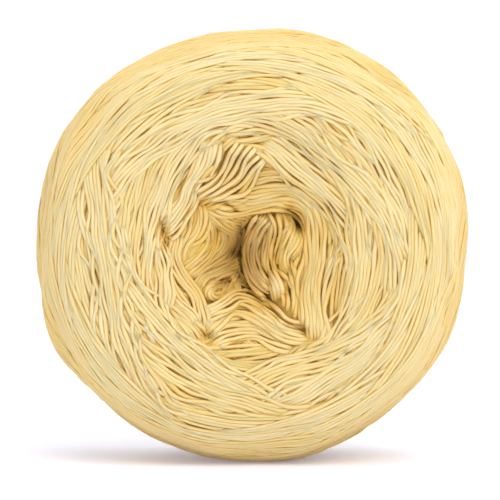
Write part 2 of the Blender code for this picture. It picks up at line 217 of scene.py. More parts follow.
# The slack turns in and round the hollow, deepest first.
# Columns: turn, strands, spacing, lift, tint, route as (x, z) from the cake's middle
HOLLOW_TURNS = (
    ("left_bed", 6, 0.80, 0.0, -0.3, ((-12, 5.5), (-13.8, 2), (-15.4, -1.4), (-16.2, -5), (-16, -9))),
    ("right_bed", 6, 0.80, 0.0, -0.3, ((17, 13), (20.4, 9), (22.4, 5), (23, 0.5), (22.6, -4))),
    ("curtain_foot_bed", 8, 0.80, 0.0, -0.3,
     ((4, -11.5), (6.4, -14.5), (9, -17.4), (12, -20.2), (15.5, -22))),
    ("top_bed", 6, 0.80, 0.0, -0.2, ((-3, 31), (-5.4, 28.4), (-7.6, 25.6), (-9.4, 22), (-11, 18))),
    ("crack_wall", 4, 0.98, 0.0, -0.9,
     ((-8.5, 7.5), (-6, 4.5), (-5, 1.5), (-6, -1.5), (-8.5, -4.5), (-12.5, -7), (-15.5, -9.5))),
    ("curl_foot", 4, 0.90, 0.0, -0.5, ((-15, -11.5), (-14.5, -14.5), (-12.5, -16.5), (-9.5, -17.5))),
    ("curl_lower", 4, 0.90, 0.4, -0.3,
     ((-3, -6.5), (-6, -8), (-9.5, -9), (-12, -11), (-12.5, -13), (-11, -14.5), (-8.5, -14))),
    ("curl_middle", 4, 0.90, 0.5, -0.2,
     ((-2.5, -4.5), (-6, -6.5), (-9.5, -8), (-13, -10.5), (-14, -13), (-12.5, -15.5))),
    ("curl_upper", 4, 0.90, 0.5, -0.2,
     ((-2.5, -2), (-4.5, -4.5), (-8.5, -6.5), (-12, -8), (-14.5, -10.5), (-15.5, -12.5))),
    ("curl_bed", 8, 0.80, 0.2, -0.2, ((-13.5, -13), (-10.5, -14), (-7.5, -13.4), (-4, -11.5))),
    ("curl_heart", 4, 0.80, 0.7, 0.4,
     ((-8.4, -11.4), (-10.4, -10.9), (-12, -12.4), (-11.4, -14.4), (-9.2, -15), (-7, -14.2))),
    ("curl_right", 2, 0.90, 0.4, -0.1, ((-4, -6.5), (-5, -9.5), (-6.2, -12.4), (-7.4, -14.8))),
    ("left_drape_inner", 5, 0.94, 0.4, -0.4,
     ((-11.5, 10), (-8.5, 6), (-7, 3), (-8, 0), (-11, -3), (-14.5, -6), (-17.5, -8))),
    ("left_drape_middle", 5, 0.94, 0.5, -0.1,
     ((-12.5, 11), (-11.5, 7), (-11, 3), (-12, -1), (-15, -4.5), (-17.5, -7), (-19, -9.5))),
    ("left_drape_outer", 5, 0.94, 0.5, 0.1,
     ((-14.5, 12.5), (-13.5, 8), (-15, 4), (-18, 1), (-19.5, -3), (-20, -6), (-20, -9))),
    ("tongue_lower", 4, 0.90, 0.4, -0.5,
     ((-12, 11.5), (-10, 9), (-7.5, 6), (-4.5, 4), (-1, 3), (1.5, 4.5))),
    ("tongue_middle", 4, 0.90, 0.6, -0.3,
     ((-12.5, 12), (-9.5, 9.5), (-6.5, 7), (-3.5, 5), (-1, 4.5), (2, 5.5))),
    ("tongue_upper", 4, 0.90, 0.8, 0.2,
     ((-13, 12.5), (-9.5, 11), (-6, 8.5), (-2.5, 7.5), (0.5, 7), (3, 8))),
    ("curtain_ninth", 4, 0.98, 0.2, -0.2,
     ((18.5, 3.5), (17, -1.5), (15, -7), (14.5, -12.5), (15, -18), (15, -22.5))),
    ("curtain_eighth", 4, 0.98, 0.3, -0.3,
     ((17, 6), (16, 1), (14, -4.5), (13, -9.5), (13.5, -15), (13.5, -21.5))),
    ("curtain_seventh", 4, 0.98, 0.3, 0.0,
     ((15, 5.5), (14, 1), (11.5, -4), (11.5, -8.5), (12, -14), (11.5, -21))),
    ("curtain_sixth", 4, 0.98, 0.3, -0.2,
     ((13, 5.5), (11.5, 1), (9.5, -3), (10.5, -8), (10.5, -13.5), (10, -20))),
    ("curtain_fifth", 3, 0.98, 0.5, 0.0,
     ((9.5, 9.5), (10.5, 6), (9.5, 1.5), (8.5, -3), (9, -8), (8.5, -13.5), (8.5, -20))),
    ("curtain_fourth", 4, 0.98, 0.6, 0.1,
     ((8, 10), (9, 6), (8, 1), (6.5, -4), (6.5, -9), (8, -14), (8.5, -20))),
    ("curtain_bed", 13, 0.62, 1.2, 0.0,
     ((6, 9.5), (4.6, 5), (3.6, 0.5), (3.2, -4), (4.2, -8), (6, -12), (7.5, -16))),
    ("curtain_second", 4, 0.98, 0.6, 0.0,
     ((3, 9), (1, 4), (-0.5, -1), (-1, -4.5), (0.5, -8.5), (3, -11.5), (5.5, -14.5))),
    ("curtain_fill", 10, 0.68, 1.5, 0.6,
     ((4.5, 9.5), (3.6, 5), (2.8, 0.5), (2.4, -4), (3.4, -8), (5.2, -12), (6.6, -16))),
    ("curtain_third", 4, 0.98, 1.4, 0.3,
     ((5.5, 9), (6.5, 5.5), (6, 0.5), (5.5, -4.5), (6.5, -9.5), (8, -14.5), (7, -19.5))),
    ("curtain_bright", 6, 0.80, 2.6, 1.8,
     ((3, 9.5), (4.6, 5.5), (4.6, 1), (4.0, -3.5), (4.2, -7), (5.5, -11), (6, -15))),
    ("curtain_edge", 6, 0.80, 2.4, 1.5,
     ((4.5, 9.5), (2.3, 6), (1.2, 3), (0.2, 0), (-0.4, -2.5), (-0.2, -5.3), (1, -8.6), (3, -10.8),
      (5.2, -12.5))),
    ("side_curtain_bed", 9, 0.80, 0.2, -0.2,
     ((22, 2), (20.5, -4), (19.2, -10), (18.6, -16), (18, -22), (17, -26.5))),
    ("side_curtain_inner", 5, 0.94, 0.3, 0.1,
     ((19, 4.5), (18, -1), (16.5, -6), (16, -11.5), (16.5, -17), (16, -22), (15, -26.5))),
    ("side_curtain_outer", 5, 0.94, 0.3, 0.2,
     ((21, 2.5), (20, -2.5), (18.5, -8.5), (17.5, -15), (17.5, -21), (16.5, -26.5))),
    ("side_curtain_last", 5, 0.90, 0.3, 0.3,
     ((23.5, -0.5), (21.5, -5), (20, -10.5), (19, -16.5), (19, -22), (18, -26.5))),
    ("top_fold_high", 6, 0.86, 0.2, -0.3, ((-2, 19), (1.5, 19), (5, 19.5), (8, 18.5), (11, 16))),
    ("top_fold_back", 6, 0.86, 0.4, -0.3,
     ((-1, 15.5), (1, 16.5), (4.5, 18), (8, 18), (10.5, 16), (13, 14), (16.5, 11.5))),
    ("top_fold_lower", 4, 0.90, 1.6, 0.0,
     ((-12.5, 12.5), (-8, 10.5), (-3, 9.5), (1.5, 10), (6, 11.5), (10, 11.5), (13, 10),
      (15, 7), (15.5, 3), (15, -3), (14, -9), (14, -16), (14.5, -23))),
    ("top_fold_middle", 5, 0.90, 1.2, -0.2,
     ((-11, 13), (-6, 11.5), (-1.5, 11), (2.5, 12), (7, 14), (11, 13.5), (14.5, 11.5),
      (16.5, 8), (17, 3), (16.5, -4), (15.5, -10), (15.5, -17), (15, -24))),
    ("top_fold_upper", 5, 0.90, 0.9, 0.0,
     ((-4, 13), (0, 13), (4, 14.5), (8, 15.5), (11.5, 15), (14.5, 13), (17, 9.5), (18, 4),
      (17.5, -3), (17, -10), (17, -18), (16.5, -25))),
    ("bottom_fold_fourth", 6, 0.90, 0.6, 0.2,
     ((-11.5, -26), (-7, -23.5), (-1.5, -22.5), (3, -22.5), (8, -24.5), (13, -26))),
    ("bottom_fold_third", 5, 0.90, 0.8, 0.1,
     ((-12.5, -24.5), (-8.5, -21.5), (-4, -20), (1, -20), (5.5, -22), (9.5, -23.5), (13.5, -25))),
    ("bottom_fold_second", 5, 0.90, 1.0, 0.2,
     ((-13, -23), (-9.5, -20), (-6, -16.5), (-2.5, -16), (1, -17.5), (4.5, -20), (8.5, -22.5),
      (13, -24), (16, -23.5))),
    ("bottom_fold_ridge", 5, 0.90, 1.3, 0.8,
     ((-13.5, -20), (-10, -17.5), (-6.5, -15), (-4, -13.5), (-1, -14), (2.5, -16), (5.5, -18),
      (9, -21), (12.5, -22.5), (15.5, -22.5))),
    ("left_upright_first", 5, 0.90, 0.4, 0.2,
     ((-17, 12.5), (-15.5, 9), (-16.5, 4.5), (-18.5, 1), (-19.5, -4), (-20, -7))),
    ("left_upright_second", 5, 0.90, 0.4, 0.3,
     ((-19, 9.5), (-18.5, 5.5), (-20, 1), (-21.5, -2.5), (-22.5, -6))),
    ("left_upright_third", 5, 0.90, 0.7, 0.5,
     ((-21, 5.5), (-20, 2), (-20.5, -2), (-19.5, -6), (-18, -9.5), (-15.5, -13.5),
      (-14.5, -17.5), (-13.5, -22.5))),
    ("lower_left_first", 6, 0.86, 0.4, 0.3,
     ((-23.5, -11.5), (-21.5, -15.5), (-19, -19), (-16.5, -22), (-13.5, -26))),
    ("lower_left_second", 5, 0.86, 0.3, 0.2,
     ((-23, -18.5), (-20.5, -21.5), (-18, -24.5), (-15, -26.5))),
    ("left_stray_second", 4, 0.90, 0.5, 0.5,
     ((-27, 2.5), (-25.5, -2), (-23.5, -6), (-22, -10.5), (-20, -14.5), (-16.5, -18.5), (-14, -22))),
    ("left_stray", 4, 0.90, 0.7, 0.6,
     ((-26, 3.5), (-24, 0), (-22.5, -4), (-22.5, -8.5), (-22, -13), (-23, -18))),
    ("corner_bundle_low", 6, 0.86, 0.5, 0.7,
     ((-6, 28.5), (-9.5, 26.5), (-12.5, 23.5), (-14.5, 19.5), (-16.5, 15.5), (-17.5, 13),
      (-20, 8.5), (-21.5, 4.5))),
    ("corner_bundle", 7, 0.86, 1.2, 1.5,
     ((-8.5, 29.5), (-11, 25.5), (-14, 21), (-16.5, 16.5), (-17.5, 13), (-19.5, 9.5),
      (-21.5, 5.5), (-24.5, 3))),
    ("under_fan", 10, 1.00, 0.5, -0.5,
     ((1, 27.5), (-2.5, 22.5), (-6, 18.5), (-10.5, 15.5), (-15, 13.5))),
    ("light_fan_fourth", 1, 1.50, 1.2, 0.9,
     ((4.5, 26), (2.5, 22), (1, 18), (-1.5, 15), (-6, 13), (-10, 12.5), (-13, 13))),
    ("light_fan_third", 2, 1.50, 1.3, 0.9,
     ((4, 26.5), (1, 22.5), (-2.5, 18), (-6, 15.5), (-9.5, 13.5), (-13.5, 13))),
    ("light_fan_second", 2, 1.50, 1.5, 1.0,
     ((1.5, 29), (-1, 25), (-3, 20.5), (-6, 17.5), (-10, 15), (-14.5, 13))),
    ("light_fan_first", 2, 1.50, 1.7, 1.0,
     ((-1.5, 30), (-4, 25.5), (-6, 21.5), (-9, 18), (-13, 15.5), (-16.5, 13.5))),
)
HOLLOW_WANDER = 0.35
HOLLOW_WAVES = (13.0, 26.0)
HOLLOW_WAVE_COUNT = 6
HOLLOW_WAVE_SUM = 1.7  # usual size of the sum of these waves

# Narrow pockets between the hollow's folds.
# Columns: pocket, depth, reach to its sides, line of its bottom as (x, z)
POCKETS = (
    ("crack", 6.0, 1.4, ((-2.6, 4.8), (-2.9, 2.0), (-4.2, -1.2), (-5.2, -2.8))),
    ("crack_foot", 4.0, 1.2, ((-3.8, -8.6), (-2.4, -10.4), (0.8, -13.4), (3.6, -16.2))),
    ("curl", 5.5, 1.3, ((-8.6, -10.8), (-6.2, -10.4))),
    ("under_fold", 5.0, 1.6, ((10.3, 10.0), (12.0, 8.2), (12.9, 5.6))),
    ("curtain_foot", 3.2, 1.4, ((4.4, -15.0), (7.4, -18.8))),
    ("curtain_foot_right", 3.0, 1.2, ((10.0, -20.6), (14.6, -22.6))),
    ("curtain_slit", 2.2, 0.9, ((6.4, -2.4), (5.6, -5.5), (4.6, -9.5))),
    ("curtain_slit_right", 1.8, 0.9, ((11.0, -3.5), (10.0, -8.0), (10.4, -13.0))),
    ("drape", 2.6, 1.0, ((-9.4, 4.8), (-10.0, 2.2), (-11.2, -0.8))),
    ("tongue", 2.0, 0.9, ((-7.6, 12.2), (-4.0, 10.0))),
    ("left", 3.2, 1.3, ((-24.2, 6.6), (-23.4, 0.6))),
    ("lower_left", 2.2, 1.2, ((-13.6, -22.8), (-10.4, -24.4))),
)
POCKET_PAINTED_SHADE = 0.18  # painted shade: deeper colour for each millimetre of a pocket's depth

# The hollow's deeper turns are painted the deeper colour, as painted shade. Heights are along Y.
PIT_TOP = -25.0
PIT_DEPTH = 9.0
PIT_PAINTED_SHADE = 0.5
FLANK_PAINTED_SHADE = 0.85  # painted shade that is added on a strand's sides and below
SHADE_HEIGHT = 3.0  # a strand that lies this far under the solid's surface is painted in full shade
SHADE_FACING = (0.4, 0.8)  # where it looks this much toward the front

# Painted highlight: turns are painted paler toward the rim, where loose fibres catch the light
RIM_PAINTED_LIGHT = 1.0
RIM_PAINTED_LIGHT_RADII = (42.0, 58.0)

# Loose fibres that stand off the strands
FIBRES = 8000
FIBRE_WIDTH = 0.055
FIBRE_LENGTH = (1.2, 4.2)
FIBRE_STEPS = 4
FIBRE_SIDES = 3
FIBRE_ROOT = 0.28  # height over the strand's middle, in strand widths
FIBRE_PALER = 0.4

# Colours, as linear red, green and blue
PALE_FIBRE = (0.87, 0.75, 0.44)
LIGHT_YARN = (0.79, 0.65, 0.36)
MAIN_YARN = (0.73, 0.53, 0.19)
# A deeper tone of the yarn, also used as painted shade
DEEP_YARN_AND_SHADE = (0.71, 0.425, 0.065)
# The core's colours are darker than the strands': painted shade between them. CORE_SHADE is painted
# shade deep in the hollow.
CORE_DARK = (0.60, 0.36, 0.06)
CORE_LIGHT = (0.72, 0.48, 0.12)
CORE_SHADE = (0.17, 0.10, 0.025)
SHEEN_TINT = (1.0, 0.86, 0.60)
FLOOR_COLOUR = (0.83, 0.84, 0.87)
FLOOR_GLOW = (0.72, 0.73, 1.0)
STREAK_SCALE = (0.30, 4.2, 1.0)  # waves for each millimetre along and round a strand

# The skin under the strands
CORE_DEPTH = 1.4  # inside the solid's surface
CORE_TURNS = 180
CORE_ARCS = 130

# The map for baking: strands lie in rows
BAKE_ROW_GAP = 0.6
BAKE_STRAND_GAP = 2.0
BAKE_EDGES = (1.0, 0.3)
BAKE_MARGIN = 8.0
CAP_RADIUS = 0.3
CAP_SHIFT = 0.5

# Pieces by where their strands show: length of their mesh cells
STEPS = {
    "hollow": 1.1,
    "front_inner": 1.8,
    "front_outer": 2.2,
    "rim_upper": 3.0,
    "rim_lower": 3.0,
    "back": 3.2,
}
INNER_FROM = 25.0  # radius at which each of these groups begins
OUTER_FROM = 36.0
RIM_FROM = 45.0
FACE_SHARE = 0.5  # of a strand's outward direction along the axis, on a face

rng = np.random.default_rng(SEED)


# Small tools

def unit(vectors):
    return vectors / np.maximum(np.linalg.norm(vectors, axis=-1, keepdims=True), 1e-9)


def smooth(values, length, closed):
    """Gaussian mean along a path sampled every PATH_STEP, with this length as its deviation."""
    spread = length / PATH_STEP
    reach = int(3 * spread) + 1
    weights = np.exp(-0.5 * (np.arange(-reach, reach + 1) / spread) ** 2)
    padded = np.pad(values, reach, mode="wrap" if closed else "edge")
    return np.convolve(padded, weights / weights.sum(), mode="valid")


def slope(points, closed):
    if closed:
        return (np.roll(points, -1, axis=0) - np.roll(points, 1, axis=0)) / 2
    return np.gradient(points, axis=0)


def distances(points):
    """How far along a path each of its points lies."""
    steps = np.linalg.norm(np.diff(points, axis=0), axis=1)
    return np.concatenate([[0.0], np.cumsum(steps)])


def waves(places, shortest, longest, count=5):
    """A smooth random curve of deviation about 1, made of sines of these wavelengths."""
    total = np.zeros_like(places)
    for length in rng.uniform(shortest, longest, count):
        total += np.sin(2 * math.pi * (places / length + rng.uniform()))
    return total * math.sqrt(2 / count)


def ring_waves(turn, count):
    """The same for a closed turn, as whole waves round it."""
    total = np.zeros_like(turn)
    for number in range(2, 2 + count):
        total += np.sin(number * turn + rng.uniform(0, 2 * math.pi))
    return total * math.sqrt(2 / count)


def blurred(values, deviation):
    """Gaussian mean of a square grid, with the deviation in cells. What lies outside counts as 0."""
    size = values.shape[0]
    reach = size + int(4 * deviation)
    waves_u = np.fft.fftfreq(reach)[:, None]
    waves_v = np.fft.rfftfreq(reach)[None, :]
    kernel = np.exp(-2 * (math.pi * deviation) ** 2 * (waves_u**2 + waves_v**2))
    spectrum = np.fft.rfft2(values, s=(reach, reach))
    return np.fft.irfft2(spectrum * kernel, s=(reach, reach))[:size, :size]


class Surface:
    """The solid's surface, charted on the front and back discs, and what is laid on it."""

    def __init__(self, node):
        self.read_solid(node)
        self.measure_section()
        self.measure_latitude()
        self.tabulate()
        self.make_discs()

    def read_solid(self, node):
        mesh = node.data
        corners = np.empty(len(mesh.vertices) * 3)
        mesh.vertices.foreach_get("co", corners)
        corners = corners.reshape(-1, 3) / MM
        low, high = corners.min(axis=0), corners.max(axis=0)
        self.middle = np.array([0.0, 0.0, (low[2] + high[2]) / 2])
        self.reach = (high - low).max()
        faces = [tuple(face.vertices) for face in mesh.polygons]
        self.tree = BVHTree.FromPolygons(corners.tolist(), faces)

    def cast(self, place, turn):
        """Surface point for a place in 0..3: the front's middle, its crown, the back's crown and
        the back's middle are at 0, 1, 2 and 3."""
        out = np.array([math.cos(turn), 0.0, math.sin(turn)])
        if 1 <= place <= 2:
            rise = math.radians(90 - 180 * (place - 1))
            start = self.middle + RING_RADIUS * out
            way = math.cos(rise) * out + np.array([0.0, -math.sin(rise), 0.0])
        else:
            front = place < 1
            radius = RING_RADIUS * (place if front else 3 - place)
            way = np.array([0.0, 1.0 if front else -1.0, 0.0])
            start = self.middle + radius * out - self.reach * way
        hit = self.tree.ray_cast(start.tolist(), way.tolist())[0]
        return np.array(hit)

    def measure_section(self):
        """Mean section of the cake: radius and arc for places in 0..3."""
        places = np.linspace(0, 3, SECTION_STEPS)
        turns = np.linspace(0, 2 * math.pi, SECTION_TURNS, endpoint=False)
        hits = np.array([[self.cast(place, turn) for turn in turns] for place in places])
        hits -= self.middle
        radius = np.hypot(hits[..., 0], hits[..., 2]).mean(axis=1)
        depth = hits[..., 1].mean(axis=1)
        steps = np.hypot(np.diff(radius), np.diff(depth))
        self.section_place = places
        self.section_radius = radius
        self.section_arc = np.concatenate([[0.0], np.cumsum(steps)])
        self.length = self.section_arc[-1]
        self.rim_radius = radius.max()

    def tabulate(self):
        """Surface points on a grid of turns and arcs."""
        self.table_arcs = int(round(self.length / TABLE_STEP)) + 1
        arcs = np.linspace(0, self.length, self.table_arcs)
        places = np.interp(arcs, self.section_arc, self.section_place)
        turns = np.arange(TABLE_TURNS) * 2 * math.pi / TABLE_TURNS
        table = np.array([[self.cast(place, turn) for place in places] for turn in turns])
        offsets = np.arange(-3, 4)
        weights = np.exp(-0.5 * (offsets / TABLE_BLUR) ** 2)
        weights /= weights.sum()
        table = sum(w * np.roll(table, k, axis=0) for w, k in zip(weights, offsets))
        padded = np.pad(table, ((0, 0), (3, 3), (0, 0)), mode="edge")
        count = self.table_arcs
        self.table = sum(w * padded[:, 3 + k:3 + k + count] for w, k in zip(weights, offsets))

    def table_point(self, arc, turn):
        row = (turn / (2 * math.pi) % 1) * TABLE_TURNS
        column = np.clip(arc / self.length, 0, 1) * (self.table_arcs - 1)
        row_low = np.floor(row).astype(int)
        column_low = np.minimum(np.floor(column).astype(int), self.table_arcs - 2)
        down, along = (row - row_low)[..., None], (column - column_low)[..., None]
        this, after = row_low % TABLE_TURNS, (row_low + 1) % TABLE_TURNS
        near = self.table[this, column_low] * (1 - along) + self.table[this, column_low + 1] * along
        far = self.table[after, column_low] * (1 - along) + self.table[after, column_low + 1] * along
        return near * (1 - down) + far * down

    def make_discs(self):
        self.disc_radius = self.length / 2 + OVERLAP
        self.half = int(math.ceil(self.disc_radius / CELL)) + 2
        axis = np.arange(-self.half, self.half + 1) * CELL
        u, v = np.meshgrid(axis, axis, indexing="ij")
        radial, turn = np.hypot(u, v), np.arctan2(v, u)
        self.inside = radial <= self.disc_radius
        fronts = [self.table_point(radial, turn), self.table_point(self.length - radial, turn)]
        self.point = np.stack(fronts)
        along_u = np.gradient(self.point, CELL, axis=1)
        along_v = np.gradient(self.point, CELL, axis=2)
        normal = unit(np.cross(along_u, along_v))
        normal[1] *= -1
        self.normal = normal
        uu = (along_u * along_u).sum(axis=-1, keepdims=True)
        uv = (along_u * along_v).sum(axis=-1, keepdims=True)
        vv = (along_v * along_v).sum(axis=-1, keepdims=True)
        area = np.maximum(uu * vv - uv * uv, 0.05)
        self.to_u = (vv * along_u - uv * along_v) / area
        self.to_v = (uu * along_v - uv * along_u) / area
        self.height = np.zeros(self.point.shape[:3])
        self.pressed = np.zeros(self.point.shape[:3])
        self.relief = np.interp(radial, RELIEF_ARCS, [FACE_RELIEF, RIM_RELIEF])
        self.compaction = np.interp(radial, RELIEF_ARCS, [FACE_COMPACTION, RIM_COMPACTION])
        rim = self.length / 2
        self.own_share = np.clip(0.5 - (radial - rim) / BLEND, 0, 1)
        self.shared = (radial > rim - BLEND / 2) & self.inside
        twin = self.length - radial[self.shared]
        self.twins = self.cells(twin * np.cos(turn[self.shared]), twin * np.sin(turn[self.shared]))

    def blocks(self, layer):
        """Sums of one disc's layer over square blocks of cells."""
        size = len(layer)
        count = -(-size // BLOCK)
        padded = np.zeros((count * BLOCK, count * BLOCK))
        padded[:size, :size] = np.where(self.inside, layer, 0.0)
        return padded.reshape(count, BLOCK, count, BLOCK).sum(axis=(1, 3))

    def level(self, layer, length):
        """Gaussian mean of one disc's layer, leaving out the cells off the disc."""
        deviation = length / CELL / BLOCK
        cover = blurred(self.blocks(np.ones_like(layer)), deviation)
        mean = blurred(self.blocks(layer), deviation) / np.maximum(cover, 1e-3)
        place = (np.arange(len(layer)) + 0.5) / BLOCK - 0.5
        low = np.clip(np.floor(place).astype(int), 0, len(mean) - 2)
        share = place - low
        mean = mean[low] * (1 - share)[:, None] + mean[low + 1] * share[:, None]
        return mean[:, low] * (1 - share) + mean[:, low + 1] * share

    def press(self):
        """Takes the layers' build-up out of the heights and adds it to what was pressed in."""
        own = []
        for height in self.height:
            level = self.level(height, WIDE_LEVEL)
            band = self.level(height - level, NEAR_LEVEL)
            level += band - self.relief * np.tanh(band / self.relief)
            finer = height - level - self.relief * np.tanh(band / self.relief)
            own.append(level + self.compaction * finer)
        for side in (0, 1):
            level = own[side].copy()
            share = self.own_share[self.shared]
            level[self.shared] = share * own[side][self.shared] + (1 - share) * own[1 - side][self.twins]
            self.height[side] -= level
            self.pressed[side] += level

    def measure_latitude(self):
        """Latitude along the section, by which tilted rings lie: +90 degrees in the front's middle."""
        share = self.section_radius / self.rim_radius
        edge = math.acos(RIM_FACE_SHARE)
        crossing = np.flatnonzero(share >= RIM_FACE_SHARE)
        first, last = self.section_arc[crossing[0]], self.section_arc[crossing[-1]]
        across = np.interp(self.section_arc, [first, last], [edge, -edge])
        face = np.arccos(np.clip(share, 0, 1))
        face = np.where(self.section_arc < self.length / 2, face, -face)
        self.section_latitude = np.where(share >= RIM_FACE_SHARE, across, face)

    def arc_of_latitude(self, latitude):
        return np.interp(-latitude, -self.section_latitude, self.section_arc)

    def latitude_of_arc(self, arc):
        return np.interp(arc, self.section_arc, self.section_latitude)

    def arc_of_radius(self, radius):
        """Arc of a point of the front at this radius from the middle."""
        front = self.section_arc < self.length / 2
        return np.interp(radius, self.section_radius[front], self.section_arc[front])

    def chart(self, arc, turn):
        side = (arc > self.length / 2).astype(int)
        radial = np.where(side == 1, self.length - arc, arc)
        return side, radial * np.cos(turn), radial * np.sin(turn)

    def unchart(self, side, u, v):
        radial = np.hypot(u, v)
        return np.where(side == 1, self.length - radial, radial), np.arctan2(v, u)

    def cells(self, u, v):
        limit = 2 * self.half
        i = np.clip(np.rint(u / CELL).astype(int) + self.half, 0, limit)
        j = np.clip(np.rint(v / CELL).astype(int) + self.half, 0, limit)
        return i, j

    def read(self, layer, side, u, v):
        """Value of a layer between its cells."""
        place_u, place_v = u / CELL + self.half, v / CELL + self.half
        i = np.clip(np.floor(place_u).astype(int), 0, 2 * self.half - 1)
        j = np.clip(np.floor(place_v).astype(int), 0, 2 * self.half - 1)
        right, up = place_u - i, place_v - j
        if layer.ndim == 4:
            right, up = right[..., None], up[..., None]
        low = layer[side, i, j] * (1 - right) + layer[side, i + 1, j] * right
        high = layer[side, i, j + 1] * (1 - right) + layer[side, i + 1, j + 1] * right
        return low * (1 - up) + high * up

    def frames(self, arc, turn, closed):
        """Points, outward directions and steps in chart units for a millimetre to the left."""
        side, u, v = self.chart(arc, turn)
        point = self.read(self.point, side, u, v)
        normal = unit(self.read(self.normal, side, u, v))
        left = unit(np.cross(normal, unit(slope(point, closed))))
        step_u = (self.read(self.to_u, side, u, v) * left).sum(axis=-1)
        step_v = (self.read(self.to_v, side, u, v) * left).sum(axis=-1)
        return side, u, v, point, normal, step_u, step_v

    def rise(self, strand):
        """Ways in which a strand's height counts: outward, and straight to the front in the hollow,
        so that turns on its walls keep their distance."""
        radius = np.linalg.norm((strand.point - self.middle)[:, ::2], axis=1)
        share = np.interp(radius, FACING_RADII, [1, 0]) * (strand.normal[:, 1] < 0)
        return unit(strand.normal * (1 - share[:, None]) - share[:, None] * [0.0, 1.0, 0.0])

    def evened(self, arc, turn, closed):
        """The same path with a sample every PATH_STEP."""
        side, u, v = self.chart(arc, turn)
        point = self.read(self.point, side, u, v)
        if closed:
            point = np.vstack([point, point[:1]])
            arc = np.append(arc, arc[0])
            turn = np.append(turn, turn[0] + 2 * math.pi * round((turn[-1] - turn[0]) / (2 * math.pi)))
        places = distances(point)
        count = max(int(places[-1] / PATH_STEP), 8)
        wanted = np.linspace(0, places[-1], count, endpoint=not closed)
        return np.interp(wanted, places, arc), np.interp(wanted, places, turn)

    def strayed(self, arc, turn, offset, closed):
        """The same path moved to its left by the offsets."""
        side, u, v, _, _, step_u, step_v = self.frames(arc, turn, closed)
        return self.unchart(side, u + step_u * offset, v + step_v * offset)


# A laid strand: its samples, the cells that it covers and its looks
Strand = namedtuple("Strand", "point normal height pressed cells width tint closed")

# A stretch of a strand that shows
Stretch = namedtuple("Stretch", "point normal depth width tint")


def lay(surface, arc, turn, closed, width, lift, tint):
    """Lays a strand along a path, on what is there already."""
    side, u, v, point, normal, step_u, step_v = surface.frames(arc, turn, closed)
    offsets = np.linspace(-0.5, 0.5, PROBES)[:, None] * width
    bulge = width * STRAND_FLATNESS / 2 * np.sqrt(np.maximum(1 - (2 * offsets / width) ** 2, 0))
    probe_u, probe_v = u + step_u * offsets, v + step_v * offsets
    i, j = surface.cells(probe_u, probe_v)
    sides = np.broadcast_to(side, i.shape)
    ground = surface.height[sides, i, j]
    resting = (ground + bulge).max(axis=0)
    settled = ground.mean(axis=0) + bulge.mean()
    height = resting + (settled - resting) * SINKING
    flowing = smooth(height, STIFFNESS, closed)
    height = flowing + smooth(np.maximum(height - flowing, 0), SETTLING, closed)
    if not closed:
        to_end = np.minimum(np.arange(len(height)), np.arange(len(height))[::-1]) * PATH_STEP
        sunken = np.exp(-((to_end / END_LENGTH) ** 2))
        height = height + lift * (1 - sunken) - END_DIVE * sunken
    top = height + bulge
    np.maximum.at(surface.height, (sides, i, j), top)
    pressed = surface.pressed[sides, i, j]
    arcs, turns = surface.unchart(sides, probe_u, probe_v)
    other = 1 - sides
    radial = np.where(other == 1, surface.length - arcs, arcs)
    near = radial < surface.disc_radius
    other_i, other_j = surface.cells(radial * np.cos(turns), radial * np.sin(turns))
    near_cells = other[near], other_i[near], other_j[near]
    np.maximum.at(surface.height, near_cells, (top + pressed)[near] - surface.pressed[near_cells])
    cells = sides, i, j, top + pressed
    return Strand(point, normal, height, pressed[PROBES // 2], cells, width, tint, closed)


def ring_turn(surface, phase, nearest, roundness=0.0):
    """A closed turn, as a tilted ring whose arc is least at the phase. A rounder one keeps longer
    to its nearest pass and crosses the rim more steeply."""
    turn = np.linspace(0, 2 * math.pi, 1600, endpoint=False) + phase
    tilt = surface.latitude_of_arc(nearest)
    swing = np.cos(turn - phase)
    if roundness:
        ease = (1 - roundness) / roundness
        swing = swing * np.sqrt((1 + ease) / (swing**2 + ease))
    latitude = np.arctan(math.tan(tilt) * swing)
    return surface.evened(surface.arc_of_latitude(latitude), turn, True)


def lay_band(surface, phase, nearest, strands, fan, roundness, tint):
    """A band of closed turns side by side, which stray together and a little apart."""
    seed_waves = rng.uniform(0, 2 * math.pi, 4)
    slack = np.interp(nearest, SLACK_RADII, SLACK_SHARES)
    first = surface.arc_of_radius(nearest)
    laid = []
    for number in range(strands):
        strand_phase = math.radians(phase + fan * number + rng.normal(0, PHASE_JITTER))
        arc, turn = ring_turn(surface, strand_phase, first + RING_SPACING * number, roundness)
        together = sum(np.sin((2 + k) * turn + seed_waves[k]) for k in range(4)) / math.sqrt(2)
        apart = ring_waves(turn, STRAND_WAVES)
        offset = LOOP_WANDER * slack * together + STRAND_WANDER * slack * apart
        arc, turn = surface.strayed(arc, turn, offset, True)
        width = STRAND_WIDTH * rng.uniform(*BAND_WIDTHS)
        strand_tint = tint + rng.normal(0, BAND_TINT_SPREAD)
        laid.append(lay(surface, arc, turn, True, width, 0.0, strand_tint))
    surface.press()
    return laid


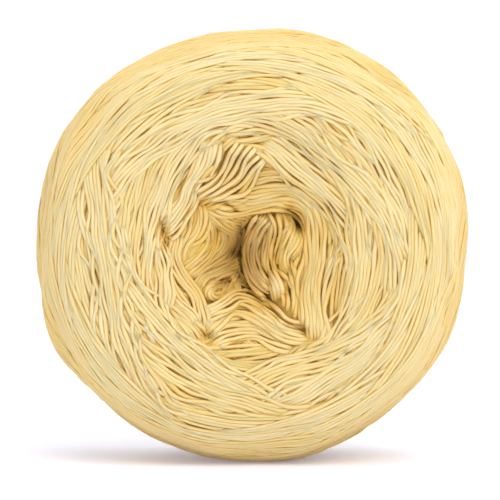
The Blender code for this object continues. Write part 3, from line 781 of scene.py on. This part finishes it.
def lay_inner_turns(surface):
    """The short turns: the part of each tilted ring that lies near a face's middle."""
    laid = []
    for side, bands, strands, first, last in INNER_TURNS:
        for number in range(bands * strands):
            band, place = divmod(number, strands)
            nearest = surface.arc_of_radius(first + (last - first) * band / (bands - 1))
            nearest += INNER_SPACING * place
            if side == "back":
                nearest = surface.length - nearest
            phase = math.radians(band * FILL_TURN + INNER_FAN * place)
            arc, turn = ring_turn(surface, phase, nearest)
            from_middle = arc if side == "front" else surface.length - arc
            kept = np.flatnonzero(from_middle < INNER_REACH)
            start = kept[np.argmax(np.diff(np.append(kept, kept[0] + len(arc))))] + 1
            arc, turn, from_middle = (np.roll(a, -start) for a in (arc, turn, from_middle))
            kept = from_middle < INNER_REACH
            arc, turn = arc[kept], turn[kept]
            places = np.arange(len(arc)) * PATH_STEP
            offset = INNER_SWAY * np.sin(places / INNER_SWAY_LENGTH + band)
            offset += INNER_WANDER * waves(places, *INNER_WAVES)
            arc, turn = surface.strayed(arc, turn, offset, False)
            tint = rng.normal(*INNER_TINT)
            laid.append(lay(surface, arc, turn, False, STRAND_WIDTH, 0.0, tint))
            if place == strands - 1:
                surface.press()
    return laid


def curve_through(points):
    """A smooth open curve through the points."""
    points = np.array(points, float)
    padded = np.vstack([2 * points[0] - points[1], points, 2 * points[-1] - points[-2]])
    pieces = []
    for a, b, c, d in zip(padded, padded[1:], padded[2:], padded[3:]):
        count = max(int(np.linalg.norm(c - b) / CURVE_STEP), 2)
        t = np.linspace(0, 1, count, endpoint=False)[:, None]
        curve = 2 * b + (c - a) * t + (2 * a - 5 * b + 4 * c - d) * t**2
        pieces.append((curve + (3 * b - a - 3 * c + d) * t**3) / 2)
    return np.vstack(pieces + [points[-1:]])


def slack_field():
    """A shift of slack turns to their left, the same for turns that lie at the same place."""
    ways = rng.uniform(0, 2 * math.pi, HOLLOW_WAVE_COUNT)
    lengths = rng.uniform(*HOLLOW_WAVES, HOLLOW_WAVE_COUNT)
    starts = rng.uniform(0, 2 * math.pi, HOLLOW_WAVE_COUNT)

    def shift(x, z):
        along = x[:, None] * np.cos(ways) + z[:, None] * np.sin(ways)
        total = np.sin(2 * math.pi * along / lengths + starts).sum(axis=1)
        return HOLLOW_WANDER * total / HOLLOW_WAVE_SUM

    return shift


def sunk(surface, points):
    """Points of the front, pushed in where the pockets are, and how far."""
    depth = np.zeros(len(points))
    places = (points - surface.middle)[:, ::2]
    for _, pocket_depth, reach, line in POCKETS:
        line = curve_through(line)[::2]
        middle, half = line.mean(axis=0), np.ptp(line, axis=0).max() / 2
        near = (points[:, 1] < 0) & (np.abs(places - middle).max(axis=1) < half + 3 * reach)
        away = np.linalg.norm(places[near, None] - line, axis=2).min(axis=1, initial=np.inf)
        depth[near] = np.maximum(depth[near], pocket_depth * np.exp(-((away / reach) ** 2)))
    return points + depth[:, None] * [0.0, 1.0, 0.0], depth


def lay_route(surface, strands, spacing, lift, tint, route, width, shift, sway):
    """Turns side by side along a route over the front."""
    line = curve_through(route)
    along = unit(np.gradient(line, axis=0))
    left = np.stack([-along[:, 1], along[:, 0]], axis=1)
    places = distances(line)
    together = sway * shift(line[:, 0], line[:, 1])
    laid = []
    for number in range(strands):
        apart = (number - (strands - 1) / 2) * spacing
        spread = 1 + ROUTE_SPREADING * waves(places, *SPREADING_WAVES)
        offset = apart * spread + together + ROUTE_WANDER * waves(places, *ROUTE_WAVES)
        route_x, route_z = (line + left * offset[:, None]).T
        arc = surface.arc_of_radius(np.hypot(route_x, route_z))
        turn = np.unwrap(np.arctan2(route_z, route_x))
        arc, turn = surface.evened(arc, turn, False)
        strand_width = width * rng.uniform(*ROUTE_WIDTHS)
        strand_lift = lift + rng.normal(0, LIFT_UNEVENNESS)
        strand_tint = tint + rng.normal(0, ROUTE_TINT_SPREAD)
        laid.append(lay(surface, arc, turn, False, strand_width, strand_lift, strand_tint))
    surface.press()
    return laid


def fill_bands(group):
    """Rows like FRONT_BANDS for a group of fill bands."""
    row = next(row for row in FILL_BANDS if row[0] == group)
    name, bands, first, last, strands, roundness, tone = row
    rows = []
    for number in range(bands):
        nearest = first + (last - first) * number / (bands - 1)
        phase = number * FILL_TURN + rng.uniform(-FILL_SPREAD, FILL_SPREAD)
        fan = rng.uniform(-FILL_FAN, FILL_FAN)
        bow = roundness * rng.uniform(*FILL_BOWS)
        tint = rng.normal(tone, FILL_TINT_SPREAD)
        rows.append((f"{name}_{number}", phase, nearest, strands, fan, bow, tint))
    return rows


def wind(surface):
    """All strands of the cake, in the order in which they lie on each other."""
    shift = slack_field()
    strands = lay_inner_turns(surface)
    for row in fill_bands("under"):
        strands += lay_band(surface, *row[1:])
    for _, *turns in HOLLOW_TURNS:
        strands += lay_route(surface, *turns, SLACK_WIDTH, shift, 1.0)
    rings = list(FRONT_BANDS) + fill_bands("outer") + fill_bands("rim")
    rings.sort(key=lambda row: row[2])
    for _, over, count, spacing, tint, route in FRONT_BUNDLES:
        while rings and rings[0][2] < over:
            strands += lay_band(surface, *rings.pop(0)[1:])
        bundle = count, spacing, 0.0, tint, route
        strands += lay_route(surface, *bundle, STRAND_WIDTH, shift, BUNDLE_SWAY)
    for row in rings:
        strands += lay_band(surface, *row[1:])
    return strands


# From laid strands to meshes

def in_pit(points):
    """How deep in the hollow points of the front lie, from 0 to 1."""
    return np.clip((points[:, 1] - PIT_TOP) / PIT_DEPTH, 0, 1)


def visible_stretches(surface, strands):
    """Cuts each strand to what shows, at its place over the solid."""
    for _ in range(SETTLES):
        surface.press()
    stretches = []
    more = int(SHOW_MORE / PATH_STEP)
    for strand in strands:
        sides, i, j, top = strand.cells
        clear = (top - surface.pressed[sides, i, j] - surface.height[sides, i, j]).max(axis=0)
        shows = clear > -SHOW_MARGIN
        count = len(shows)
        if strand.closed and not shows.all():
            start = np.flatnonzero(~shows)[0]
        else:
            start = 0
        order = (np.arange(count) + start) % count
        shows = shows[order]
        grown = np.convolve(shows.astype(float), np.ones(2 * more + 1), mode="same") > 0
        middle = PROBES // 2
        later = surface.pressed[sides[middle], i[middle], j[middle]] - strand.pressed
        height = strand.height - smooth(later, STIFFNESS, strand.closed) + LEVEL
        normal = strand.normal[order]
        point = (strand.point + surface.rise(strand) * height[:, None])[order]
        facing = np.interp(-normal[:, 1], SHADE_FACING, [0, 1])
        # Painted shade: a deeper colour under neighbours, deep in the hollow, under the solid's surface
        # and in the pockets
        depth = np.clip(-clear - SHOW_MARGIN, 0, 1)[order]
        depth += PIT_PAINTED_SHADE * in_pit(point) * (normal[:, 1] < 0)
        depth += np.clip(-height[order] / SHADE_HEIGHT, 0, 1) * facing
        point, pocket = sunk(surface, point)
        depth += POCKET_PAINTED_SHADE * pocket
        edges = np.flatnonzero(np.diff(np.concatenate([[0], grown.astype(int), [0]])))
        for begin, end in zip(edges[::2], edges[1::2]):
            if (end - begin) * PATH_STEP < SHORTEST or not shows[begin:end].any():
                continue
            part = slice(begin, end)
            # Painted highlight: a paler tint toward the rim
            radius = np.linalg.norm((point[part] - surface.middle)[:, ::2], axis=1).mean()
            tint = strand.tint + RIM_PAINTED_LIGHT * np.interp(radius, RIM_PAINTED_LIGHT_RADII, [0, 1])
            stretches.append(Stretch(point[part], normal[part], depth[part], strand.width, tint))
    return stretches


def thinned(stretch, step):
    """Samples of a stretch about a step apart, ends included."""
    count = max(int(round((len(stretch.point) - 1) * PATH_STEP / step)), 2)
    return np.rint(np.linspace(0, len(stretch.point) - 1, count + 1)).astype(int)


def new_object(name, verts, maps, loops, sizes, attributes, material):
    """A piece of the cake in metres, from flat arrays, that rides on its body."""
    mesh = bpy.data.meshes.new(name)
    mesh.vertices.add(len(verts))
    mesh.vertices.foreach_set("co", (verts * MM).astype(np.float32).ravel())
    mesh.loops.add(len(loops))
    mesh.loops.foreach_set("vertex_index", loops.astype(np.int32))
    mesh.polygons.add(len(sizes))
    starts = np.concatenate([[0], np.cumsum(sizes)[:-1]])
    mesh.polygons.foreach_set("loop_start", starts.astype(np.int32))
    mesh.polygons.foreach_set("loop_total", sizes.astype(np.int32))
    mesh.polygons.foreach_set("use_smooth", np.ones(len(sizes), bool))
    for layer, values in maps.items():
        mesh.uv_layers.new(name=layer).data.foreach_set("uv", values.astype(np.float32).ravel())
    mesh.update(calc_edges=True)
    mesh.validate()
    for attribute, values in attributes.items():
        data = mesh.attributes.new(attribute, "FLOAT", "POINT").data
        data.foreach_set("value", values.astype(np.float32))
    mesh.materials.append(material)
    piece = bpy.data.objects.new(name, mesh)
    bpy.context.scene.collection.objects.link(piece)
    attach(piece, "root")
    return piece


def tube_points(stretch, kept, places):
    """Rings of points round a stretch, and how much painted shade each point has."""
    point, normal = stretch.point[kept], stretch.normal[kept]
    along = unit(np.gradient(point, axis=0))
    left = unit(np.cross(normal, along))
    up = np.cross(along, left)
    swell = 1 + WIDTH_UNEVENNESS * waves(places, *WIDTH_WAVES, 3)
    swell[[0, -1]] *= END_TAPER
    half = (stretch.width / 2 * FLUFF * swell)[:, None]
    ring = point[:, None] + left[:, None] * (np.cos(STRAND_ANGLES) * half)[..., None]
    ring = ring + up[:, None] * (np.sin(STRAND_ANGLES) * half * STRAND_FLATNESS)[..., None]
    # Painted shade on each strand's sides and underside
    flank = np.where(np.sin(STRAND_ANGLES) > 0.1, 0.0, FLANK_PAINTED_SHADE)
    return ring.reshape(-1, 3), (stretch.depth[kept][:, None] + flank).ravel()


def tube_faces(rings, first_vertex):
    """Corners and sizes of a tube's faces: its sides, then its start and its end."""
    near = np.arange(rings - 1)[:, None] * STRAND_SIDES
    far = near + STRAND_SIDES
    side = np.arange(STRAND_SIDES)
    after = (side + 1) % STRAND_SIDES
    sides = np.stack([near + side, near + after, far + after, far + side], axis=-1)
    end = (rings - 1) * STRAND_SIDES + side
    sizes = [4] * ((rings - 1) * STRAND_SIDES) + [STRAND_SIDES, STRAND_SIDES]
    return np.concatenate([sides.ravel(), side[::-1], end]) + first_vertex, sizes


def tube_maps(places, cursor, row_width, row_height):
    """Two maps of these corners. One is drawn out along the strand and turns with its twist, for
    the fibres. The other is packed in rows, for baking."""
    begin, finish = cursor + places[:-1], cursor + places[1:]
    row = np.floor(begin / row_width)
    row_start, row_base = row * row_width, row * row_height
    side = np.arange(STRAND_SIDES)
    share = np.stack([side, side + 1, side + 1, side], axis=-1) / STRAND_SIDES
    around = np.broadcast_to(share, (len(row), STRAND_SIDES, 4)) * STRAND_ROUND
    length = np.stack([begin, begin, finish, finish], axis=-1)[:, None]
    length = np.broadcast_to(length, around.shape)
    packed_u, packed_v = length - row_start[:, None, None], around + row_base[:, None, None]
    drawn = [np.stack([length, around + TWIST * length], axis=-1).reshape(-1, 2)]
    packed = [np.stack([packed_u, packed_v], axis=-1).reshape(-1, 2)]
    ends = ((0, begin[0], -CAP_SHIFT, STRAND_ANGLES[::-1]), (-1, finish[-1], CAP_SHIFT, STRAND_ANGLES))
    for end, place, shift, angles in ends:
        disc = CAP_RADIUS * np.stack([np.cos(angles), np.sin(angles)], axis=-1)
        drawn.append(disc + [place, STRAND_ROUND / 2 + TWIST * place])
        packed.append(disc + [place - row_start[end] + shift, row_base[end] + STRAND_ROUND / 2])
    return np.vstack(drawn), np.vstack(packed)


def strand_piece(name, stretches, step, material):
    """Tubes for these stretches, joined in one mesh."""
    total = sum((len(s.point) - 1) * PATH_STEP + BAKE_STRAND_GAP for s in stretches)
    row_height = STRAND_ROUND + BAKE_ROW_GAP
    row_width = math.sqrt(total * row_height)
    parts = []
    cursor, first_vertex = 0.0, 0
    for stretch in stretches:
        kept = thinned(stretch, step)
        places = distances(stretch.point[kept])
        points, depth = tube_points(stretch, kept, places)
        faces = tube_faces(len(kept), first_vertex)
        maps = tube_maps(places, cursor, row_width, row_height)
        parts.append((points, depth, np.full(len(points), stretch.tint), *faces, *maps))
        first_vertex += len(points)
        cursor += places[-1] + BAKE_STRAND_GAP
    verts, painted_shades, tints, loops, sizes, drawn, packed = map(np.concatenate, zip(*parts))
    verts[:, 2] = np.maximum(verts[:, 2], 0.0)
    rows = math.floor(cursor / row_width) + 1
    packed = (packed + BAKE_EDGES) / [row_width + BAKE_MARGIN, rows * row_height + BAKE_ROW_GAP]
    maps = {"strand": drawn, "OFBake": packed}
    return new_object(name, verts, maps, loops, sizes, {"tint": tints, "depth": painted_shades}, material)


def core_piece(surface, material):
    """The skin under the strands, which shows only as shade between them; its colours are painted shade.
    """
    turns, arcs = CORE_TURNS, CORE_ARCS
    turn = np.arange(turns) * 2 * math.pi / turns
    arc = np.linspace(0, surface.length, arcs)
    grid_arc, grid_turn = np.meshgrid(arc[1:-1], turn, indexing="ij")
    side, u, v = surface.chart(grid_arc, grid_turn)
    rings = surface.read(surface.point, side, u, v)
    rings = rings - CORE_DEPTH * unit(surface.read(surface.normal, side, u, v))
    poles = [rings[0].mean(axis=0), rings[-1].mean(axis=0)]
    verts = np.vstack([rings.reshape(-1, 3), poles])
    verts, _ = sunk(surface, verts)
    verts[:, 2] = np.maximum(verts[:, 2], CORE_DEPTH / 2)
    a = np.arange(arcs - 3)[:, None] * turns
    b = np.arange(turns)[None, :]
    after = (b + 1) % turns
    quads = np.stack([a + b, a + turns + b, a + turns + after, a + after], axis=-1).reshape(-1, 4)
    last = (arcs - 3) * turns
    front_pole, back_pole = len(verts) - 2, len(verts) - 1
    fan = np.arange(turns)
    front = np.stack([np.full(turns, front_pole), fan, (fan + 1) % turns], axis=-1)
    back = np.stack([np.full(turns, back_pole), last + (fan + 1) % turns, last + fan], axis=-1)
    loops = np.concatenate([quads.ravel(), front.ravel(), back.ravel()])
    sizes = np.concatenate([np.full(len(quads), 4), np.full(2 * turns, 3)])
    # Painted shade of the core deep in the hollow
    looks = {"depth": in_pit(verts) * (verts[:, 1] < 0)}
    return new_object("winding_core", verts, {}, loops, sizes, looks, material)


def fibre_piece(name, stretches, count, material):
    """Fine loose fibres that stand off the strands."""
    lengths = np.array([len(s.point) for s in stretches], float)
    chosen = rng.choice(len(stretches), count, p=lengths / lengths.sum())
    steps = np.linspace(0, 1, FIBRE_STEPS + 1)[:, None]
    corners = np.arange(FIBRE_SIDES) * 2 * math.pi / FIBRE_SIDES
    verts, tints = [], []
    for pick in chosen:
        stretch = stretches[pick]
        at = rng.integers(1, len(stretch.point) - 1)
        normal = stretch.normal[at]
        along = unit(stretch.point[at + 1] - stretch.point[at - 1]) * rng.choice([-1, 1])
        left = np.cross(normal, along) * rng.choice([-1, 1])
        root = FIBRE_ROOT * normal + rng.uniform(0, 0.4) * left
        root = stretch.point[at] + root * stretch.width
        length = rng.uniform(*FIBRE_LENGTH)
        way = unit(along + rng.uniform(0.1, 0.9) * left + rng.uniform(0.05, 0.55) * normal)
        bend = rng.uniform(-0.35, 0.35) * left - rng.uniform(0.0, 0.3) * normal
        line = root + length * (way * steps + bend * steps**2)
        flank = unit(np.cross(way, normal))
        rise = np.cross(flank, way)
        half = FIBRE_WIDTH / 2 * (1 - 0.6 * steps)
        ring = flank * np.cos(corners)[:, None, None] + rise * np.sin(corners)[:, None, None]
        verts.append((line[None] + ring * half).transpose(1, 0, 2).reshape(-1, 3))
        tints.append(np.full(FIBRE_SIDES * (FIBRE_STEPS + 1), stretch.tint + FIBRE_PALER))
    base = np.arange(count)[:, None, None] * FIBRE_SIDES * (FIBRE_STEPS + 1)
    near = base + np.arange(FIBRE_STEPS)[None, :, None] * FIBRE_SIDES
    far = near + FIBRE_SIDES
    side = np.arange(FIBRE_SIDES)[None, None, :]
    after = (side + 1) % FIBRE_SIDES
    quads = np.stack([near + side, near + after, far + after, far + side], axis=-1).reshape(-1, 4)
    verts = np.vstack(verts)
    verts[:, 2] = np.maximum(verts[:, 2], 0.02)
    looks = {"tint": np.concatenate(tints)}
    return new_object(name, verts, {}, quads.ravel(), np.full(len(quads), 4), looks, material)


# Materials

class Nodes:
    """Short way to write a material's node tree."""

    def __init__(self, name, **shading):
        self.material = bpy.data.materials.new(name)
        self.material.use_nodes = True
        self.tree = self.material.node_tree
        self.shader = self.tree.nodes["Principled BSDF"]
        for socket, value in shading.items():
            self.shader.inputs[socket.replace("_", " ")].default_value = value

    def add(self, kind, settings=None, **inputs):
        node = self.tree.nodes.new(kind)
        for key, value in (settings or {}).items():
            setattr(node, key, value)
        for key, value in inputs.items():
            self.join(value, node.inputs[int(key[1:]) if key[1:].isdigit() else key])
        return node

    def join(self, value, socket):
        if isinstance(value, bpy.types.NodeSocket):
            self.tree.links.new(value, socket)
        else:
            socket.default_value = value

    def attribute(self, name):
        return self.add("ShaderNodeAttribute", {"attribute_name": name}).outputs["Fac"]

    def mix(self, share, low, high):
        node = self.add("ShaderNodeMix", {"data_type": "RGBA"})
        self.join(share, node.inputs[0])
        self.join(low, node.inputs[6])
        self.join(high, node.inputs[7])
        return node.outputs[2]

    def span(self, value, low, high, to_low=0.0, to_high=1.0):
        node = self.add("ShaderNodeMapRange", _0=value, _1=low, _2=high, _3=to_low, _4=to_high)
        return node.outputs[0]


def colour(rgb):
    return (*rgb, 1.0)


def yarn_material():
    """Loosely spun matt yarn: strand tint, fibre streaks along the twist, and painted shade, a deeper
    colour below the strands, between them and in the hollow.
    """
    n = Nodes(
        "yarn_strands",
        Roughness=0.92,
        Specular_IOR_Level=0.25,
        Subsurface_Weight=0.5,
        Subsurface_Radius=(1.0, 0.95, 0.8),
        Subsurface_Scale=0.0009,
        Sheen_Weight=0.25,
        Sheen_Roughness=0.5,
        Sheen_Tint=colour(SHEEN_TINT),
    )
    tint, depth = n.attribute("tint"), n.attribute("depth")
    strand = n.add("ShaderNodeUVMap", {"uv_map": "strand"}).outputs["UV"]
    drawn = n.add("ShaderNodeMapping", _0=strand, Scale=STREAK_SCALE)
    streaks = n.add("ShaderNodeTexNoise", Vector=drawn.outputs[0], Scale=1.0, Detail=3.0)
    place = n.add("ShaderNodeTexCoord").outputs["Object"]
    patches = n.add("ShaderNodeTexNoise", Vector=place, Scale=70.0, Detail=2.0)
    base = n.mix(n.span(tint, -1.3, 1.6), colour(MAIN_YARN), colour(LIGHT_YARN))
    base = n.mix(n.span(tint, -0.2, -1.6, 0.0, 0.35), base, colour(DEEP_YARN_AND_SHADE))
    base = n.mix(n.span(patches.outputs["Fac"], 0.35, 0.75, 0.0, 0.22), base, colour(MAIN_YARN))
    base = n.mix(n.span(streaks.outputs["Fac"], 0.52, 0.30, 0.0, 0.22), base, colour(DEEP_YARN_AND_SHADE))
    base = n.mix(n.span(streaks.outputs["Fac"], 0.50, 0.70, 0.0, 0.22), base, colour(PALE_FIBRE))
    # Painted shade: the deeper colour where strands lie in gaps, pockets and the hollow, and on their
    # lower sides
    base = n.mix(n.span(depth, 0.1, 0.85, 0.0, 0.85), base, colour(DEEP_YARN_AND_SHADE))
    n.join(base, n.shader.inputs["Base Color"])
    bump = n.add("ShaderNodeBump", Strength=0.8, Distance=0.00012)
    n.join(streaks.outputs["Fac"], bump.inputs["Height"])
    n.join(bump.outputs[0], n.shader.inputs["Normal"])
    return n.material


def core_material():
    """Yarn in shade between the strands, painted darker than the strands, with deeper painted shade in
    the hollow.
    """
    n = Nodes("yarn_in_shade", Roughness=1.0, Specular_IOR_Level=0.1)
    place = n.add("ShaderNodeTexCoord").outputs["Object"]
    mottle = n.add("ShaderNodeTexNoise", Vector=place, Scale=900.0, Detail=2.0)
    tone = n.mix(mottle.outputs["Fac"], colour(CORE_DARK), colour(CORE_LIGHT))
    # Painted shade deep in the hollow
    tone = n.mix(n.attribute("depth"), tone, colour(CORE_SHADE))
    n.join(tone, n.shader.inputs["Base Color"])
    return n.material


def fibre_material():
    """Pale single fibres."""
    n = Nodes("loose_fibres", Roughness=0.8, Sheen_Weight=0.3)
    tone = n.mix(n.span(n.attribute("tint"), -1.0, 1.6), colour(MAIN_YARN), colour(LIGHT_YARN))
    n.join(tone, n.shader.inputs["Base Color"])
    return n.material


# Stage

CAMERA_RISE = 3.0  # degrees above level
CAMERA_DISTANCE = 1100.0
VIEW_WIDTH = 138.3  # of the picture at the cake
VIEW_MIDDLE = (-0.3, -1.8)  # of the picture from the cake's middle, x and z
SENSOR = 36.0
FLOOR_HALF_WIDTH = 4.0  # in metres, as the floor's other sizes
FLOOR_FRONT = -3.0
FLOOR_BACK = 1.2
SWEEP_RADIUS = 1.0
BACKDROP_TOP = 4.0


def make_camera(surface):
    data = bpy.data.cameras.new("camera")
    data.sensor_width = SENSOR
    data.lens = SENSOR * CAMERA_DISTANCE / VIEW_WIDTH
    data.clip_end = 20.0
    camera = bpy.data.objects.new("camera", data)
    bpy.context.scene.collection.objects.link(camera)
    rise = math.radians(CAMERA_RISE)
    aim = surface.middle + [VIEW_MIDDLE[0], 0.0, VIEW_MIDDLE[1]]
    place = aim + CAMERA_DISTANCE * np.array([0.0, -math.cos(rise), math.sin(rise)])
    camera.location = (place * MM).tolist()
    camera.rotation_euler = (math.radians(90) - rise, 0.0, 0.0)
    bpy.context.scene.camera = camera


def make_floor():
    """A wide pale floor that sweeps up into a backdrop far behind the cake."""
    profile = [(FLOOR_FRONT, 0.0), (FLOOR_BACK, 0.0)]
    for angle in np.radians(np.arange(10, 91, 10)):
        rise = SWEEP_RADIUS * (1 - math.cos(angle))
        profile.append((FLOOR_BACK + SWEEP_RADIUS * math.sin(angle), rise))
    profile.append((FLOOR_BACK + SWEEP_RADIUS, BACKDROP_TOP))
    verts = [(x, y, z) for y, z in profile for x in (-FLOOR_HALF_WIDTH, FLOOR_HALF_WIDTH)]
    faces = [(2 * k, 2 * k + 1, 2 * k + 3, 2 * k + 2) for k in range(len(profile) - 1)]
    mesh = bpy.data.meshes.new("floor")
    mesh.from_pydata(verts, [], faces)
    mesh.shade_smooth()
    floor = bpy.data.objects.new("floor", mesh)
    bpy.context.scene.collection.objects.link(floor)
    n = Nodes(
        "pale_floor",
        Base_Color=colour(FLOOR_COLOUR),
        Emission_Color=colour(FLOOR_GLOW),
        Emission_Strength=0.215,
        Roughness=0.9,
        Specular_IOR_Level=0.1,
    )
    mesh.materials.append(n.material)


# Columns: light, place in metres, size in metres, power in watts
LIGHTS = (
    ("key", (0.6, -1.2, 1.2), 1.3, 14.0),
    ("top", (0.1, -0.1, 1.6), 1.2, 6.3),
)
WORLD_STRENGTH = 0.865


def make_lights(surface):
    aim = surface.middle * MM
    for name, place, size, power in LIGHTS:
        data = bpy.data.lights.new(name, "AREA")
        data.shape = "DISK"
        data.size = size
        data.energy = power
        lamp = bpy.data.objects.new(name, data)
        bpy.context.scene.collection.objects.link(lamp)
        lamp.location = place
        way = np.array(place) - aim
        flat = math.hypot(way[0], way[1])
        lamp.rotation_euler = (math.atan2(flat, way[2]), 0.0, math.atan2(way[0], -way[1]))
    world = bpy.data.worlds.new("studio")
    world.use_nodes = True
    background = world.node_tree.nodes["Background"]
    background.inputs["Color"].default_value = colour((1.0, 1.0, 1.0))
    background.inputs["Strength"].default_value = WORLD_STRENGTH
    bpy.context.scene.world = world
    bpy.context.scene.view_settings.view_transform = "Standard"


# The whole cake

def split_stretches(surface, stretches):
    """Stretches by where they show."""
    groups = {name: [] for name in STEPS}
    for stretch in stretches:
        x, y, z = stretch.point.mean(axis=0) - surface.middle
        radius = math.hypot(x, z)
        faced = stretch.normal[:, 1].mean()
        if faced > FACE_SHARE:
            groups["back"].append(stretch)
        elif faced > -FACE_SHARE and radius > RIM_FROM:
            groups["rim_upper" if z > 0 else "rim_lower"].append(stretch)
        elif radius > OUTER_FROM:
            groups["front_outer"].append(stretch)
        elif radius > INNER_FROM:
            groups["front_inner"].append(stretch)
        else:
            groups["hollow"].append(stretch)
    return groups


surface = Surface(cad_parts[NODE])
make_camera(surface)
make_floor()
make_lights(surface)
stretches = visible_stretches(surface, wind(surface))
yarn = yarn_material()
for group, members in split_stretches(surface, stretches).items():
    strand_piece(f"strands_{group}", members, STEPS[group], yarn)
core = core_piece(surface, core_material())
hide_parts(NODE)
fibre_piece("loose_fibres", stretches, FIBRES, fibre_material())
